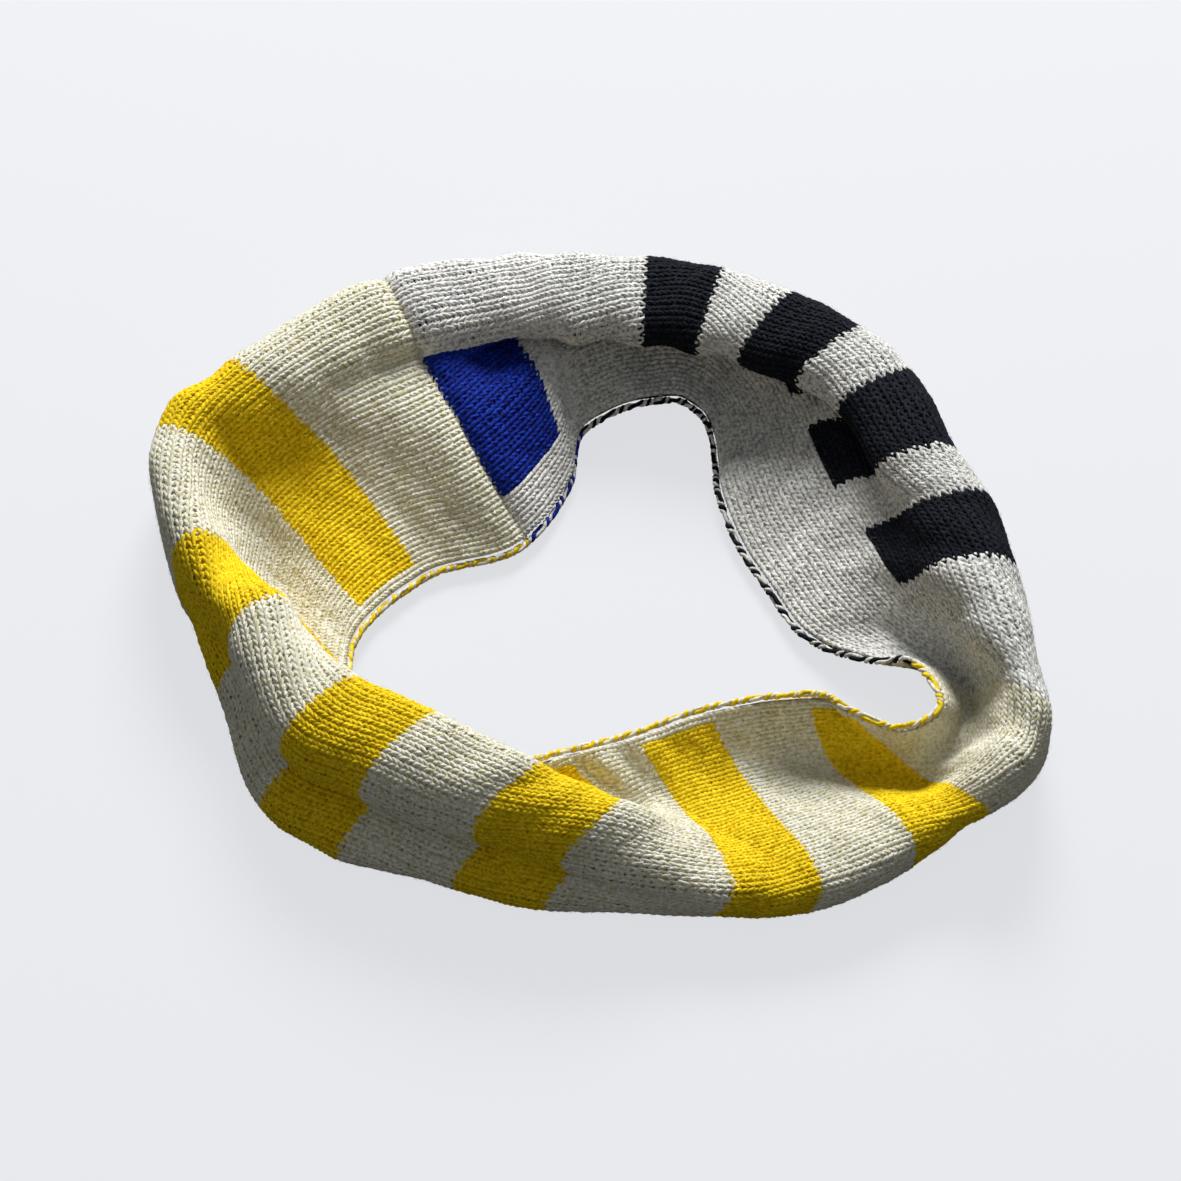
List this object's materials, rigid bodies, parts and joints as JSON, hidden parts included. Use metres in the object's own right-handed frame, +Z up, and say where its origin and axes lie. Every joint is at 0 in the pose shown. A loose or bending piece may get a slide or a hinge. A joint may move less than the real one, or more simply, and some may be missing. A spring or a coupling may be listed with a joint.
{
  "type": "knitted neck gaiter",
  "caption": "Striped knitted wool neck gaiter: one long strip joined into a loop by a single seam, laid down as a loose ring.",
  "frame": {"origin": "on the ground under the middle of the ring's bounding box", "axes": "+Z up, +X along the ring's longer direction, +Y from the near side towards the far side where the seam is"},
  "size_m": [0.3756, 0.3216, 0.0613],
  "materials": {
    "cream_wool": "matte, slightly fuzzy knitted lambswool",
    "yellow_wool": "matte, slightly fuzzy knitted lambswool",
    "black_wool": "matte, slightly fuzzy knitted lambswool",
    "blue_wool": "matte, slightly fuzzy knitted lambswool",
    "yellow_and_cream_back": "matte, speckled from two yarns",
    "black_and_cream_back": "matte, speckled from two yarns",
    "blue_and_cream_back": "matte, speckled from two yarns"
  },
  "bodies": {
    "far_half": {"yellow_far_ground_face": "cream_wool", "yellow_far_back_layer": "yellow_and_cream_back", "yellow_far_inner_selvedge": "yellow_wool", "yellow_far_outer_selvedge": "yellow_wool", "black_ground_face": "cream_wool", "black_back_layer": "black_and_cream_back", "black_inner_selvedge": "black_wool", "black_outer_selvedge": "black_wool", "blue_ground_face": "cream_wool", "blue_back_layer": "blue_and_cream_back", "blue_inner_selvedge": "blue_wool", "blue_outer_selvedge": "blue_wool", "yellow_block_1": "yellow_wool", "black_block_1": "black_wool", "black_block_2": "black_wool", "black_block_3": "black_wool", "black_block_4": "black_wool", "blue_block": "blue_wool", "seam_linking_chain": "cream_wool"},
    "near_half": {"yellow_near_ground_face": "cream_wool", "yellow_near_back_layer": "yellow_and_cream_back", "yellow_near_inner_selvedge": "yellow_wool", "yellow_near_outer_selvedge": "yellow_wool", "yellow_block_2": "yellow_wool", "yellow_block_3": "yellow_wool", "yellow_block_4": "yellow_wool", "yellow_block_5": "yellow_wool", "yellow_block_6": "yellow_wool"}
  },
  "joints": [
    {"name": "fold_in_half", "type": "hinge", "parent": "far_half", "child": "near_half", "pos_m": [0.0085, -0.028, 0.064], "axis": [-0.9733, 0.2296, 0], "range_deg": [0, 175]}
  ]
}
